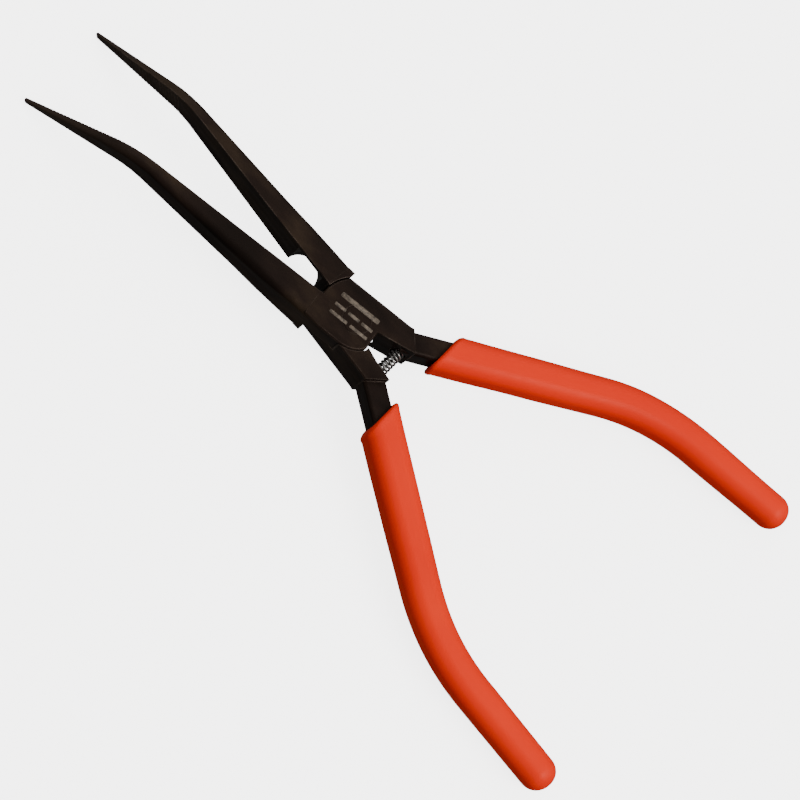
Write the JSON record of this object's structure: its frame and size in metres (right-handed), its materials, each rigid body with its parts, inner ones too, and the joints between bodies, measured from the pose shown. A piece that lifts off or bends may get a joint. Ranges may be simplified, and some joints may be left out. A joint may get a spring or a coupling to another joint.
{
  "type": "needle nose pliers",
  "caption": "Bent needle nose pliers with a riveted lap joint, a small return spring and dip-coated handle grips.",
  "frame": {"origin": "on the pivot axis, in the flat back face of the lap joint", "axes": "+X from the pivot towards the jaw tips, +Y to the side of the front half's jaw, +Z out of the marked front face"},
  "size_m": [0.1477, 0.0724, 0.0167],
  "materials": {
    "black_steel": "black oxide over ground forging, satin",
    "rivet_steel": "black oxide, ground flush",
    "spring_wire": "bright drawn wire",
    "orange_vinyl": "dip-coated vinyl, satin",
    "etched_mark": "laser-etched dashes, dull"
  },
  "bodies": {
    "front_body": {"front_half": "black_steel", "pivot_rivet": "rivet_steel", "return_spring": "spring_wire", "front_half_grip": "orange_vinyl"},
    "rear_body": {"rear_half": "black_steel", "rear_half_grip": "orange_vinyl"}
  },
  "joints": [
    {"name": "jaw_pivot", "type": "hinge", "parent": "front_body", "child": "rear_body", "pos_m": [0, 0, 0], "axis": [0, 0, 1], "range_deg": [-2, 15], "stiffness_Nm_per_rad": 0.25, "deforming": ["return_spring"]}
  ]
}
